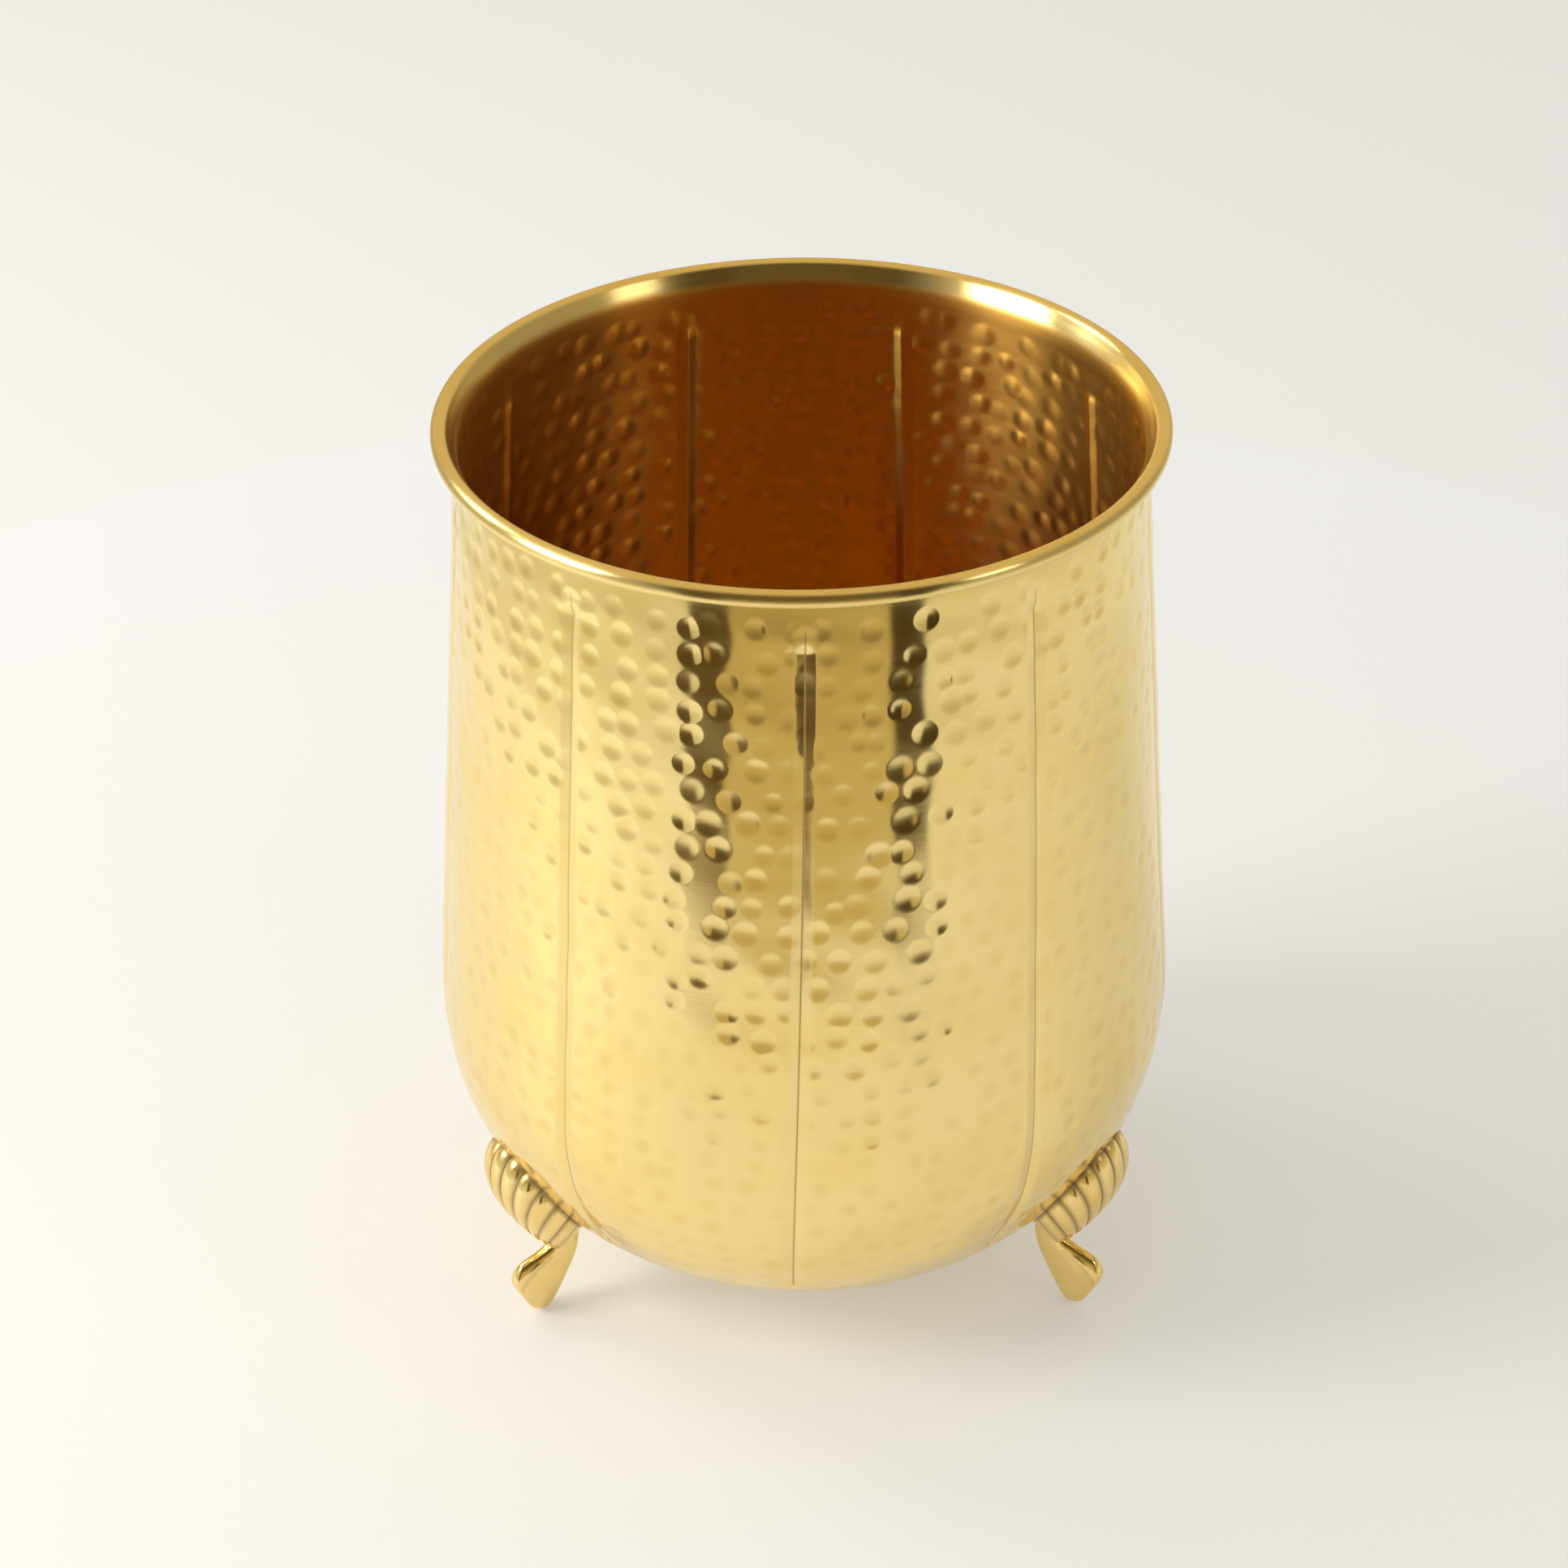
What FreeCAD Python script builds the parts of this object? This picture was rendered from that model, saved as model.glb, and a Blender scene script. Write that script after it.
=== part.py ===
import FreeCAD, Part
import math
import os

# Brass planter: one spun sheet vessel with a wired rim, standing on three cast scallop feet.
# Millimetres. The pot's axis is Z and the floor is z = 0. The front is -Y.

# Vessel. Radii are of the outer face of the sheet.
sheet = 0.9                    # thickness of the spun brass
base_height = 19.0             # floor to the underside of the flat base
bowl_depth = 73.0              # base to the widest ring
base_slope = 22.5              # degrees, slope of the bowl where it meets the base
belly_radius = 109.3           # the widest ring
bend_radius = 200.0            # of the short bend above the belly
neck_rise = 180.0              # belly to neck
neck_lean = 3.75               # degrees, inward lean of the wall above its bend

# Rolled rim: the sheet curls outward round a wire.
wire_radius = 1.5
wire_clearance = 0.1           # between the wire and the curl
rim_step = 2.0                 # how far the wall steps out between the neck and the curl
rim_rise = 5.5                 # neck to the wire's centre, upward
curl_end = 60.0                # degrees left open, where the curl's edge meets the neck

# Pressed grooves, equally spaced from the front.
groove_count = 9
groove_width = 4.8
groove_depth = 1.5
groove_start_rise = 22.0       # base to the groove's lower end
groove_stop_drop = 7.5         # neck to the groove's upper end

# Cast feet, equally spaced from the back.
foot_places = ("back", "front_left", "front_right")
boss_angle = 34.0              # degrees below level, where a foot's screw meets the bowl
seat_clearance = 0.1           # between the casting and the bowl
knee_length = 43.0             # hinge to lip, along the bowl
knee_width = 41.0
knee_height = 12.6             # above the bowl at the screw
knee_drop = 24.6               # screw to the knee's hinge, along the bowl
flute_count = 21
flute_depth = 0.9
leg_drop = 26.0                # screw to the back of the leg, along the bowl
leg_width = 7.4
leg_edge_round = 1.4
ankle_depth = 10.0             # leg thickness under the knee
toe_reach = 24.2               # back of the leg to the tip of the toe
toe_height = 17.2
instep_height = 18.8
instep_reach = 3.5             # front of the ankle to the instep's bend
toe_setback = 3.0              # tip of the toe to its highest point
toe_bevel = 3.5                # the toe's highest point down to its tip
toe_tuck = 1.6                 # tip of the toe to the front of its underside
heel_setback = 8.5             # back of the leg to the sole
heel_curve_reach = 4.5         # back of the leg to the hollow behind the heel
heel_curve_height = 5.0
calf_reach = 1.2               # back of the leg to the calf's curve
calf_height = 11.6
sole_length = 9.0

# Fasteners, one set for each foot.
screw_radius = 2.5
screw_reach = 7.5              # sheet to the screw's tip
thread_clearance = 0.05        # between the shank and the tapped boss
sheet_hole_clearance = 0.3     # between the shank and the hole in the sheet
washer_hole_clearance = 0.2    # between the shank and the hole in the washer and the seal
hole_end_gap = 1.0             # beyond the screw's tip
head_radius = 4.75
head_height = 3.3
slot_width = 1.2
slot_depth = 1.4
washer_radius = 5.5
washer_thickness = 1.0
seal_radius = 6.5
seal_thickness = 1.6           # at the screw, between the washer and the sheet

# Cutting tools pass the faces they cut by this much.
cut_past = 2.0

# Sizes that follow from the ones above.
axis_z = FreeCAD.Vector(0, 0, 1)
bowl_radius = bowl_depth / math.cos(math.radians(base_slope))
bowl_centre_r = belly_radius - bowl_radius
belly_height = base_height + bowl_depth
neck_height = belly_height + neck_rise
neck_radius = (
    belly_radius - bend_radius * (1 - math.cos(math.radians(neck_lean)))
    - (neck_rise - bend_radius * math.sin(math.radians(neck_lean))) * math.tan(math.radians(neck_lean))
)
curl_radius = wire_radius + wire_clearance
rim_radius = neck_radius + rim_step + curl_radius
rim_height = neck_height + rim_rise
knee_root = knee_length ** 2 / (4 * bowl_radius)    # the scallop's blank reaches this far inside the bowl
sheet_hole_radius = screw_radius + sheet_hole_clearance
washer_hole_radius = screw_radius + washer_hole_clearance
seal_face = -sheet - seal_thickness                 # where the seal meets the washer, outward of the bowl
washer_face = seal_face - washer_thickness          # where the washer meets the screw's head


def at(radius, height, side=0.0):
    """A point in the plane of the front half section: radius along X, side along Y."""
    return FreeCAD.Vector(radius, side, height)


def bowl_point(angle, lift=0.0):
    """A point on the bowl's arc, angle degrees below level, lifted off its outer face."""
    reach = bowl_radius + lift
    turn = math.radians(angle)
    return at(bowl_centre_r + reach * math.cos(turn), belly_height - reach * math.sin(turn))


def base_edge(lift):
    """Where the bowl's arc meets the flat base: the angle below level at which it has come down."""
    return math.degrees(math.asin((bowl_depth + min(lift, 0)) / (bowl_radius + lift)))


def bowl_arc(low_angle, high_angle, lift=0.0):
    middle = bowl_point((low_angle + high_angle) / 2, lift)
    return Part.Arc(bowl_point(low_angle, lift), middle, bowl_point(high_angle, lift)).toShape()


def neck_direction():
    lean = math.radians(neck_lean)
    return FreeCAD.Vector(-math.sin(lean), 0, math.cos(lean))


def wall_edges(inset=0.0, top_height=neck_height):
    """The wall: a short bend from upright at the belly, then a straight taper."""
    bend_centre = belly_radius - bend_radius
    reach = bend_radius - inset
    def on_bend(angle):
        turn = math.radians(angle)
        return at(bend_centre + reach * math.cos(turn), belly_height + reach * math.sin(turn))

    lean = math.radians(neck_lean)
    bend_end = on_bend(neck_lean)
    rise = top_height - bend_end.z
    bend = Part.Arc(on_bend(0), on_bend(neck_lean / 2), bend_end).toShape()
    taper = Part.makeLine(bend_end, at(bend_end.x - rise * math.tan(lean), top_height))
    return [bend, taper]


def sheet_side(inset):
    """One face of the sheet in half section, from the axis out, up and round the rim wire."""
    def round_wire(angle):
        turn = math.radians(angle)
        reach = curl_radius + inset
        return at(rim_radius + reach * math.cos(turn), rim_height + reach * math.sin(turn))

    edge_angle = base_edge(-inset)
    base = Part.makeLine(at(0, base_height + inset), bowl_point(edge_angle, -inset))
    rise = Part.BSplineCurve()
    wall = wall_edges(inset)
    neck = wall[-1].lastVertex(True).Point
    rise.interpolate(
        Points=[neck, round_wire(180)],
        InitialTangent=neck_direction(),
        FinalTangent=axis_z,
    )
    curl = Part.Arc(round_wire(180), round_wire(curl_end / 2), round_wire(curl_end - 180))
    bowl = bowl_arc(edge_angle, 0, -inset)
    return [base, bowl] + wall + [rise.toShape(), curl.toShape()]


def turned(face):
    return face.revolve(FreeCAD.Vector(0, 0, 0), axis_z, 360)


def spun_sheet():
    """Both faces of the sheet, closed at the axis and at the curl's edge, turned round the axis."""
    outer = sheet_side(0)
    inner = sheet_side(sheet)
    curl_edge = Part.makeLine(outer[-1].lastVertex(True).Point, inner[-1].lastVertex(True).Point)
    axis = Part.makeLine(at(0, base_height), at(0, base_height + sheet))
    section = Part.Wire(Part.__sortEdges__(outer + inner + [curl_edge, axis]))
    return turned(Part.Face(section))


def groove_path(extra):
    """The stretch of the outer outline that a groove follows, longer by extra at each end."""
    start_drop = bowl_depth - groove_start_rise + extra
    start_angle = math.degrees(math.asin(start_drop / bowl_radius))
    stop_height = neck_height - groove_stop_drop + extra
    return Part.Wire([bowl_arc(start_angle, 0)] + wall_edges(top_height=stop_height))


def swept_vee(path, depth, half_width, cap):
    """A triangular bar along a path: its point is depth inside the path, its flat side cap outside."""
    start = path.Edges[0].firstVertex(True).Point
    inward = (at(bowl_centre_r, belly_height) - start).normalize()
    side = FreeCAD.Vector(0, half_width * (depth + cap) / depth, 0)
    corners = [start + inward * depth, start - inward * cap + side, start - inward * cap - side]
    triangle = Part.makePolygon(corners + corners[:1])
    sweep = Part.BRepOffsetAPI.MakePipeShell(path)
    sweep.setBiNormalMode(FreeCAD.Vector(0, 1, 0))
    sweep.add(triangle)
    sweep.build()
    sweep.makeSolid()
    return sweep.shape()


def round_axis(shape, count, first_angle):
    """Copies of a shape, equally spaced round the axis. Angles are from +X."""
    copies = []
    for index in range(count):
        copy = shape.copy()
        copy.rotate(FreeCAD.Vector(0, 0, 0), axis_z, first_angle + index * 360 / count)
        copies.append(copy)
    return copies


def press_grooves(body):
    """Each groove stands out as a ridge on the inside, so the sheet keeps its thickness."""
    flank = math.atan2(groove_depth, groove_width / 2)
    ridge_point = groove_depth + sheet / math.cos(flank)
    ridge_half = ridge_point * (groove_width / 2) / groove_depth
    ridge = swept_vee(groove_path(sheet), ridge_point, ridge_half, -sheet / 2)
    groove = swept_vee(groove_path(0), groove_depth, groove_width / 2, sheet)
    body = body.fuse(round_axis(ridge, groove_count, -90))
    return body.cut(round_axis(groove, groove_count, -90))


def boss_frame():
    """The screw's place on the bowl, its outward direction and the direction up the bowl."""
    turn = math.radians(boss_angle)
    outward = FreeCAD.Vector(math.cos(turn), 0, -math.sin(turn))
    upward = FreeCAD.Vector(math.sin(turn), 0, math.cos(turn))
    return bowl_point(boss_angle), outward, upward


def rod(radius, start, stop):
    """A round bar on a screw's axis, from start to stop outward of the bowl's face."""
    place, outward, _ = boss_frame()
    return Part.makeCylinder(radius, stop - start, place + outward * start, outward)


def pot_body():
    holes = round_axis(rod(sheet_hole_radius, -sheet - cut_past, cut_past), len(foot_places), 90)
    return press_grooves(spun_sheet()).cut(holes)


def rim_wire():
    return Part.makeTorus(rim_radius, wire_radius, at(0, rim_height))


def bowl_blank(lift):
    """The bowl as a full solid, its arc lifted off the sheet's outer face."""
    edge_angle = base_edge(lift)
    low = bowl_point(edge_angle, lift)
    high = bowl_point(0, lift)
    sides = [
        Part.makeLine(high, at(0, high.z)),
        Part.makeLine(at(0, high.z), at(0, low.z)),
        Part.makeLine(at(0, low.z), low),
    ]
    return turned(Part.Face(Part.Wire([bowl_arc(edge_angle, 0, lift)] + sides)))


def knee_contour(level, length):
    """One level of the scallop: an oval through the hinge, with a flute for each rib."""
    place, outward, upward = boss_frame()
    across = FreeCAD.Vector(0, 1, 0)
    points_per_flute = 4
    total = flute_count * points_per_flute
    wave = flute_depth / knee_length
    points = []
    for index in range(1, total):
        fan = math.pi * (index / total - 0.5)
        reach = length * math.cos(fan) * (1 - wave * math.cos(2 * math.pi * index / points_per_flute))
        along = reach * math.cos(fan) - knee_drop
        aside = reach * math.sin(fan) * knee_width / knee_length
        points.append(place + outward * level + upward * along + across * aside)
    points.append(place + outward * level - upward * knee_drop)
    curve = Part.BSplineCurve()
    curve.interpolate(Points=points, PeriodicFlag=True)
    return Part.Wire(curve.toShape())


def knee():
    """The scallop as a stack of ovals that shrink as a dome does."""
    contours = [knee_contour(-knee_root, knee_length)]
    for share in (0.0, 0.35, 0.65, 0.87, 0.97):
        length = knee_length * (1 - share ** 2) ** 0.5
        contours.append(knee_contour(knee_height * share, length))
    return Part.makeLoft(contours, True, False)


def leg():
    """The leg and toe: a side outline, with its edges rounded over."""
    leg_angle = boss_angle + math.degrees(leg_drop / bowl_radius)
    top = bowl_point(leg_angle)
    back = top.x
    heel = back + heel_setback
    sole_end = heel + sole_length
    tip = back + toe_reach
    front = Part.BSplineCurve()
    front.interpolate(
        Points=[
            at(back + ankle_depth, top.z),
            at(back + ankle_depth, (top.z + instep_height) / 2),
            at(back + ankle_depth + instep_reach, instep_height),
            at(tip - toe_setback, toe_height),
            at(tip, toe_height - toe_bevel),
            at(tip - toe_tuck, toe_height / 2),
            at(sole_end, 0),
        ],
    )
    rear = Part.BSplineCurve()
    rear.interpolate(
        Points=[
            at(heel, 0),
            at(back + heel_curve_reach, heel_curve_height),
            at(back + calf_reach, calf_height),
            at(back, top.z),
        ],
    )
    outline = Part.Wire([
        front.toShape(),
        Part.makeLine(at(sole_end, 0), at(heel, 0)),
        rear.toShape(),
        Part.makeLine(at(back, top.z), at(back + ankle_depth, top.z)),
    ])
    half = FreeCAD.Vector(0, leg_width / 2, 0)
    blank = Part.Face(outline).extrude(half * 2)
    blank.translate(half * -1)
    flank_edges = [edge for edge in blank.Edges if rounds_over(edge)]
    return blank.makeFillet(leg_edge_round, flank_edges)


def rounds_over(edge):
    """The curved edges along both flanks; the sole and the top stay square."""
    flank = leg_width / 2
    on_flank = math.isclose(abs(edge.CenterOfMass.y), flank, rel_tol=0.001)
    return on_flank and edge.Curve.TypeId == "Part::GeomBSplineCurve"


def foot():
    hole = rod(screw_radius + thread_clearance, -sheet, screw_reach + hole_end_gap)
    return knee().fuse(leg()).cut(bowl_blank(seat_clearance)).cut(hole)


def seal():
    """A soft ring pressed to the curve of the bowl's inside."""
    disc = rod(seal_radius, seal_face, 0).common(bowl_blank(-sheet))
    return disc.cut(rod(washer_hole_radius, seal_face - cut_past, 0))


def washer():
    disc = rod(washer_radius, washer_face, seal_face)
    return disc.cut(rod(washer_hole_radius, washer_face - cut_past, 0))


def screw():
    """A slotted cheese-head screw, put in from inside the pot."""
    top = washer_face - head_height
    solid = rod(head_radius, top, washer_face).fuse(rod(screw_radius, washer_face, screw_reach))
    place, outward, _ = boss_frame()
    half_slot = head_radius + cut_past
    slot = Part.makeBox(cut_past + slot_depth, slot_width, 2 * half_slot)
    slot.translate(at(-cut_past, -half_slot, -slot_width / 2))
    slot.rotate(at(0, 0), FreeCAD.Vector(0, 1, 0), boss_angle)
    slot.translate(place + outward * top)
    return solid.cut(slot)


def place_feet(makers):
    """One of each foot piece at each place round the pot."""
    placed = {}
    for kind, shape in makers.items():
        copies = round_axis(shape, len(foot_places), 90)
        for place, copy in zip(foot_places, copies):
            placed[kind + "_" + place] = copy
    return placed


pieces = {"pot_body": pot_body(), "rim_wire": rim_wire()}
pieces.update(place_feet({"foot": foot(), "screw": screw(), "washer": washer(), "seal": seal()}))
os.makedirs("parts", exist_ok=True)
for name, shape in pieces.items():
    shape.exportStep("parts/" + name + ".step")
    print(name, len(shape.Solids), "solid", round(shape.Volume), "mm3")
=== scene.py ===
import math

import bpy
import numpy as np
from mathutils import Euler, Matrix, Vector


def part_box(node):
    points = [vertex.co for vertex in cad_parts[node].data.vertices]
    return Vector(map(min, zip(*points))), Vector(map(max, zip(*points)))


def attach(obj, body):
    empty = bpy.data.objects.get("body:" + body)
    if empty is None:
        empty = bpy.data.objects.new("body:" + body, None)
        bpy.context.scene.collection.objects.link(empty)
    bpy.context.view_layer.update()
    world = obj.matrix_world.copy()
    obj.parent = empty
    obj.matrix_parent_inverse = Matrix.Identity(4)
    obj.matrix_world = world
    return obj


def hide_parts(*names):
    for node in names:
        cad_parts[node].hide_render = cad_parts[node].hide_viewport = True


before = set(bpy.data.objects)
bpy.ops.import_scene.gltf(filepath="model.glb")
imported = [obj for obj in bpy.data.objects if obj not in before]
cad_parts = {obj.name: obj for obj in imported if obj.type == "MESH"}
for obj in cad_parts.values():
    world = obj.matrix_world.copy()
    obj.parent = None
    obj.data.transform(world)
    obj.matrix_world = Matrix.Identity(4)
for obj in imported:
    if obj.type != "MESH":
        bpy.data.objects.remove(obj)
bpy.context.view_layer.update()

# Brass planter on three cast shell feet. Metres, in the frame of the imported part: the pot's axis is Z,
# the floor is z = 0 and the front is -Y. Angles round the pot start at the front and grow towards +X.
dice = np.random.default_rng(11)

camera = {
    "place": (-0.01503, -1.0763, 0.8299),
    "tilt": 58.0,             # degrees up from looking straight down
    "heading": -0.501,
    "roll": -0.432,
    "lens": 98.64,
    "sensor": 36.0,
    "farthest": 50,
}

light = {
    "high": (0.62, 0.615, 0.61, 1),
    "low": (1.10, 1.09, 1.07, 1),
    "behind": (0.68, 0.53, 0.29, 1),      # the room as polished metal sees it
    "front": (0.02, 0.013, 0.005, 1),
    "left": (0.50, 0.46, 0.38, 1),
    "right": (0.36, 0.32, 0.23, 1),
    "worldStrength": 1.0,
    "skyFade": (0.0, 0.45),               # where each part of the world fades in, as parts of a direction
    "backFade": (0.2, 0.6),
    "leftFade": (0.45, 0.85),
    "rightFade": (0.5, 0.9),
    "keyPlace": (-1.70, -0.38, 1.00),
    "keyAim": (0.0, 0.0, 0.1),
    "keySize": 0.85,
    "keyPower": 26.5,
    "keyColour": (1.0, 0.985, 0.96),
    "topPlace": (-1.35, 0.75, 1.20),
    "topSize": 0.6,
    "topPower": 5.5,
    "fillPlace": (1.45, -0.85, 1.3),
    "fillSize": 0.5,
    "fillPower": 2.0,
}

stageCards = {
    "front": -0.42,
    "bottom": 0.001,
    "top": 0.75,
    "cards": {                # left edge, right edge and stops of (height, colour)
        "cardMiddle": (-0.166, 0.188, [
            (0.0, (0.60, 0.52, 0.32)), (0.05, (0.56, 0.46, 0.23)), (0.10, (0.58, 0.47, 0.24)),
            (0.17, (0.33, 0.26, 0.12)), (0.30, (0.12, 0.09, 0.04)),
        ]),
        "cardLeft": (-0.280, -0.166, [(0.0, (0.24, 0.17, 0.06)), (0.05, (0.10, 0.065, 0.02))]),
        "cardRight": (0.188, 0.292, [(0.0, (0.18, 0.13, 0.04)), (0.05, (0.06, 0.035, 0.01))]),
    },
}

stageRing = {
    "radius": 0.55,
    "bottom": 0.001,
    "top": 0.30,
    "sides": 64,
    "stops": [
        (0.0, (0.90, 0.89, 0.87)), (0.04, (0.80, 0.77, 0.68)),
        (0.13, (0.63, 0.56, 0.40)), (0.28, (0.42, 0.36, 0.22)),
    ],
}

potLow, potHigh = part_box("pot_body")
wireLow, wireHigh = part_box("rim_wire")

vessel = {
    "panels": 9,              # one between each pair of pressed grooves
    "rowStep": 0.00066,
    "columnStep": 0.00072,
    "fineStep": 0.00034,      # beside a groove's valley
    "fineColumns": 10,
    "turnWeight": 0.002,      # extra rows where the outline turns, per radian
    "bowlPoints": 500,        # points of the outline's spans before they are spread evenly
    "bendPoints": 90,
    "taperPoints": 900,
    "flarePoints": 60,
    "curlPoints": 160,
    "sheet": 0.0009,
    "bowlDepth": 0.073,
    "baseSlope": 22.5,        # degrees, where the bowl meets the flat base
    "bendRadius": 0.2,
    "neckLean": 3.75,         # degrees
    "rimRise": 0.0045,        # neck to the wire's centre
    "flareLean": 28.0,        # degrees outward where the sheet meets the curl
    "wireClearance": 0.00009,
    "sunk": 0.00004,          # keeps the waves of the sheet inside its outline
    "curlEnd": 60.0,          # degrees left open
    "workedPast": 0.002,      # grooves and marks end this far past the neck
    "rimBlend": 0.003,        # the bead keeps the outer finish
}

groove = {
    "depth": 0.00082,
    "topExtra": 0.20,         # share deeper at the top
    "extraFrom": 0.222,
    "extraOver": 0.020,
    "halfWidth": 0.0033,
    "power": 1.05,            # 1 is a plain vee, more hollows its flanks
    "shoulder": 0.00030,      # the sheet is drawn in a little beside the vee
    "shoulderWidth": 0.0070,
    "top": 0.2630,
    "topFade": 0.0045,
    "dentRadius": 0.0042,     # a round dent ends each groove at the top
    "dentDepth": 0.00030,
    "dentPower": 1.3,
    "bottom": 0.041,
    "bottomFade": 0.003,
    "leanRun": 0.230,
    "leanPower": 1.5,
    "leans": {                # degrees at the top and added at the bottom
        0: (-0.3, -2.7), 1: (-1.2, -3.5), 8: (0.2, -0.6),
    },
    "looseLean": 1.0,         # the most that any other groove leans
    # painted shade in each valley, full on the front groove and less on the others
    "valleyShade": {0: 1.0},
    "valleyShadeElse": 0.8,
    "paintedShading": 0.00022,         # half width of the painted shade along the valley
    "shadingGrowth": 2.0,       # the painted shade is full where this much deeper a groove would be whole
}

hammer = {
    "columns": 63,
    "rows": 60,
    "rowPitch": 0.0084,
    "firstRow": 0.0075,       # below the neck
    "lowest": 0.030,
    "radius": 0.00370,
    "radiusSpread": 0.12,
    "depth": 0.00022,
    "innerShare": 2.2,        # the marks stand out more on the inner face
    "depthSpread": 0.40,
    "power": 1.40,
    "acrossSpread": 0.0030,
    "alongSpread": 0.0014,
    "missing": 0.04,
    "fadeFrom": 0.035,
    "fadeOver": 0.030,
    "fadeLeft": 0.6,
    "clearFrom": 0.0024,      # the marks grow faint beside a groove
    "clearOver": 0.0020,
    "clearLeft": 0.3,
}

wave = {
    "count": 14,
    "height": 0.00003,
    "around": (3, 26),        # waves in one turn
    "along": (20.0, 260.0),   # radians per metre
    "calmOver": 0.01,         # the waves die out over this length below the neck
}


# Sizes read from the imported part, and what follows from them.
def vesselPlaces():
    wireRadius = (wireHigh.z - wireLow.z) / 2
    bowlRadius = vessel["bowlDepth"] / math.cos(math.radians(vessel["baseSlope"]))
    return {
        "base": potLow.z,
        "belly": potLow.z + vessel["bowlDepth"],
        "bellyRadius": potHigh.x,
        "bowlRadius": bowlRadius,
        "bowlCentre": potHigh.x - bowlRadius,
        "rim": (wireHigh.z + wireLow.z) / 2,
        "rimRadius": wireHigh.x - wireRadius,
        "neck": (wireHigh.z + wireLow.z) / 2 - vessel["rimRise"],
        "curlRadius": wireRadius + vessel["wireClearance"],
    }


place = vesselPlaces()


# 3s^2 - 2s^3, where s is the value kept between 0 and 1.
def smoothStep(value):
    share = np.clip(value, 0, 1)
    return share * share * (3 - 2 * share)


# Points at centre + radius * (cos, sin) of even turns.
def arcPoints(centre, radius, start, stop, count):
    turn = np.linspace(start, stop, count)
    return np.stack([centre[0] + radius * np.cos(turn), centre[1] + radius * np.sin(turn)], 1)


# Outline of the sheet's outer face as (radius, height): an arc for the bowl, a short bend, a straight
# taper, a cubic that leaves the neck along the taper and flares into the curl, and an arc round the wire.
def outerOutline():
    lean = math.radians(vessel["neckLean"])
    low = math.radians(90 - vessel["baseSlope"])
    bowlCentre = (place["bowlCentre"], place["belly"])
    bowl = arcPoints(bowlCentre, place["bowlRadius"], -low, 0, vessel["bowlPoints"])
    bendCentre = (place["bellyRadius"] - vessel["bendRadius"], place["belly"])
    bend = arcPoints(bendCentre, vessel["bendRadius"], 0, lean, vessel["bendPoints"])
    share = np.linspace(0, 1, vessel["taperPoints"])[:, None]
    rise = place["neck"] - bend[-1, 1]
    taper = bend[-1] + share * np.array([-rise * math.tan(lean), rise])
    flare = math.radians(vessel["flareLean"])
    curl = arcPoints(
        (place["rimRadius"], place["rim"]), place["curlRadius"],
        math.pi - flare, math.radians(vessel["curlEnd"]) - math.pi, vessel["curlPoints"],
    )
    start, stop = taper[-1], curl[0]
    chord = np.linalg.norm(stop - start)
    leaving = chord * np.array([-math.sin(lean), math.cos(lean)])
    arriving = chord * np.array([math.sin(flare), math.cos(flare)])
    t = np.linspace(0, 1, vessel["flarePoints"])[:, None]
    step = (
        (2 * t**3 - 3 * t**2 + 1) * start + (t**3 - 2 * t**2 + t) * leaving
        + (3 * t**2 - 2 * t**3) * stop + (t**3 - t**2) * arriving
    )
    return np.concatenate([bowl, bend[1:], taper[1:], step[1:], curl[1:]])


# Rows of the vessel: points spread along the outline evenly in its length plus its turning, the outward
# normal at each, and the length run from the base.
def vesselRows():
    line = outerOutline()
    edge = np.diff(line, axis=0)
    length = np.hypot(edge[:, 0], edge[:, 1])
    heading = np.unwrap(np.arctan2(edge[:, 1], edge[:, 0]))
    turning = np.abs(np.diff(heading, prepend=heading[0]))
    measure = np.concatenate([[0], np.cumsum(length + vessel["turnWeight"] * turning)])
    run = np.concatenate([[0], np.cumsum(length)])
    headingAt = np.concatenate([heading[:1], (heading[:-1] + heading[1:]) / 2, heading[-1:]])
    count = int(round(measure[-1] / vessel["rowStep"])) + 1
    spread = np.linspace(0, measure[-1], count)
    radius, height, runs, angle = (
        np.interp(spread, measure, values) for values in (line[:, 0], line[:, 1], run, headingAt)
    )
    peak = int(np.argmax(line[:, 1]))
    neckRun = np.interp(place["neck"], line[:peak, 1], run[:peak])
    return {
        "radius": radius, "height": height, "run": runs,
        "outR": np.sin(angle), "outZ": -np.cos(angle), "neckRun": neckRun,
    }


rows = vesselRows()
grooveLeans = {
    index: dice.uniform(-1, 1, 2) * groove["looseLean"] for index in range(vessel["panels"])
}
grooveLeans.update(groove["leans"])


# Angle of a groove's valley at a height: its even share of the circle plus a lean that grows downwards.
def valleyAngle(index, height):
    top, bottom = grooveLeans[index % vessel["panels"]]
    drop = np.clip((place["neck"] - height) / groove["leanRun"], 0, 1)
    return 2 * math.pi * index / vessel["panels"] + np.radians(top + bottom * drop ** groove["leanPower"])


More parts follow.
